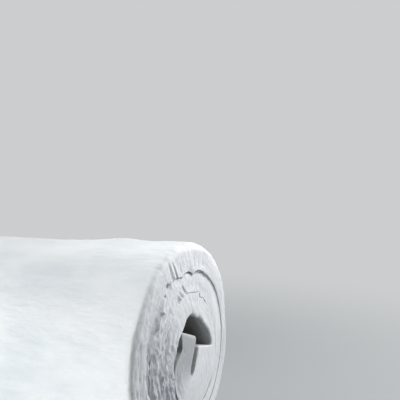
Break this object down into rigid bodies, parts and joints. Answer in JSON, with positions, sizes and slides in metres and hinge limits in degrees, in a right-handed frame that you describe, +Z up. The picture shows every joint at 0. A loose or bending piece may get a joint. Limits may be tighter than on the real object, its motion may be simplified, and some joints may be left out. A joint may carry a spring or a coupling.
{
  "type": "insulation roll",
  "caption": "Roll of soft white insulation mat lying on its side, wound loosely round an open hollow, with the mat's inner end and a fold of the mat standing up in the hollow.",
  "frame": {"origin": "on the floor, under the middle of the roll's box", "axes": "+X along the roll, +Y to the back, where the turns are pressed, +Z up"},
  "size_m": [1.2, 0.7409, 0.709],
  "materials": {
    "wool": "soft fibrous wool, matte"
  },
  "bodies": {
    "root": {"mat_roll": "wool"}
  },
  "joints": []
}
